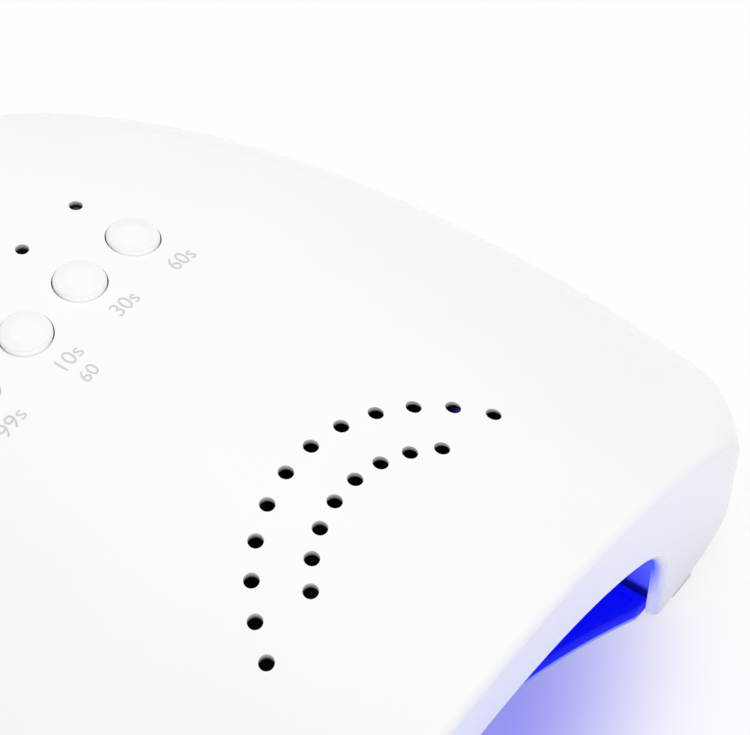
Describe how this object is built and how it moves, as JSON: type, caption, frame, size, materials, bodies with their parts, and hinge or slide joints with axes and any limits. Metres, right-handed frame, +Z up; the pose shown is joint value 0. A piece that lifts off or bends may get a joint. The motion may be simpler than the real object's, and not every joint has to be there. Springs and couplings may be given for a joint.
{
  "type": "LED nail lamp",
  "caption": "Domed table-top LED lamp for curing nail gel, with an arched hand opening, timer buttons on the crown and a drop-out base tray.",
  "frame": {"origin": "middle of the lamp's underside, on the table", "axes": "+Z up, -Y towards the hand opening, +X to the right-hand side of the lamp seen from above with the opening towards the viewer"},
  "size_m": [0.221, 0.2078, 0.102],
  "materials": {
    "shell": "gloss",
    "liner": "gloss",
    "tray": "satin",
    "button": "gloss",
    "plunger": "satin",
    "magnet": "polished",
    "foot": "matte",
    "board": "satin",
    "lamp_board": "satin",
    "bead": "gloss",
    "indicator": "gloss",
    "black_part": "satin",
    "ferrite": "matte",
    "header": "satin",
    "pin": "polished",
    "screw": "satin",
    "sensor_clear": "gloss",
    "sensor_dark": "gloss",
    "lead": "satin"
  },
  "bodies": {
    "housing": {"board_screws": "screw", "buzzer": "black_part", "ceiling_led_beads": "bead", "ceiling_led_board": "lamp_board", "control_board": "board", "dc_jack": "black_part", "driver_capacitor": "black_part", "driver_inductor": "ferrite", "housing_feet": "foot", "housing_magnets": "magnet", "indicator_leds": "indicator", "inner_liner": "liner", "jack_pin": "pin", "lamp_board_screws": "screw", "lamp_leads": "lead", "lead_headers": "header", "left_led_beads": "bead", "left_led_board": "lamp_board", "liner_screws": "screw", "microcontroller": "black_part", "outer_shell": "shell", "power_leads": "lead", "right_led_beads": "bead", "right_led_board": "lamp_board", "sensor_emitter": "sensor_clear", "sensor_receiver": "sensor_dark", "tact_switches": "black_part"},
    "tray": {"base_tray": "tray", "tray_feet": "foot", "tray_magnets": "magnet"},
    "button_99s": {"button_99s": "button", "plunger_99s": "plunger"},
    "button_10s": {"button_10s": "button", "plunger_10s": "plunger"},
    "button_30s": {"button_30s": "button", "plunger_30s": "plunger"},
    "button_60s": {"button_60s": "button", "plunger_60s": "plunger"}
  },
  "joints": [
    {"name": "tray_drop", "type": "slide", "parent": "housing", "child": "tray", "axis": [0, 0, -1], "range_m": [0, 0.025]},
    {"name": "press_99s", "type": "slide", "parent": "housing", "child": "button_99s", "axis": [0, 0, -1], "range_m": [0, 0.0005], "stiffness_N_per_m": 1000, "springref_m": -0.001},
    {"name": "press_10s", "type": "slide", "parent": "housing", "child": "button_10s", "axis": [0, 0, -1], "range_m": [0, 0.0005], "stiffness_N_per_m": 1000, "springref_m": -0.001},
    {"name": "press_30s", "type": "slide", "parent": "housing", "child": "button_30s", "axis": [0, 0, -1], "range_m": [0, 0.0005], "stiffness_N_per_m": 1000, "springref_m": -0.001},
    {"name": "press_60s", "type": "slide", "parent": "housing", "child": "button_60s", "axis": [0, 0, -1], "range_m": [0, 0.0005], "stiffness_N_per_m": 1000, "springref_m": -0.001}
  ]
}
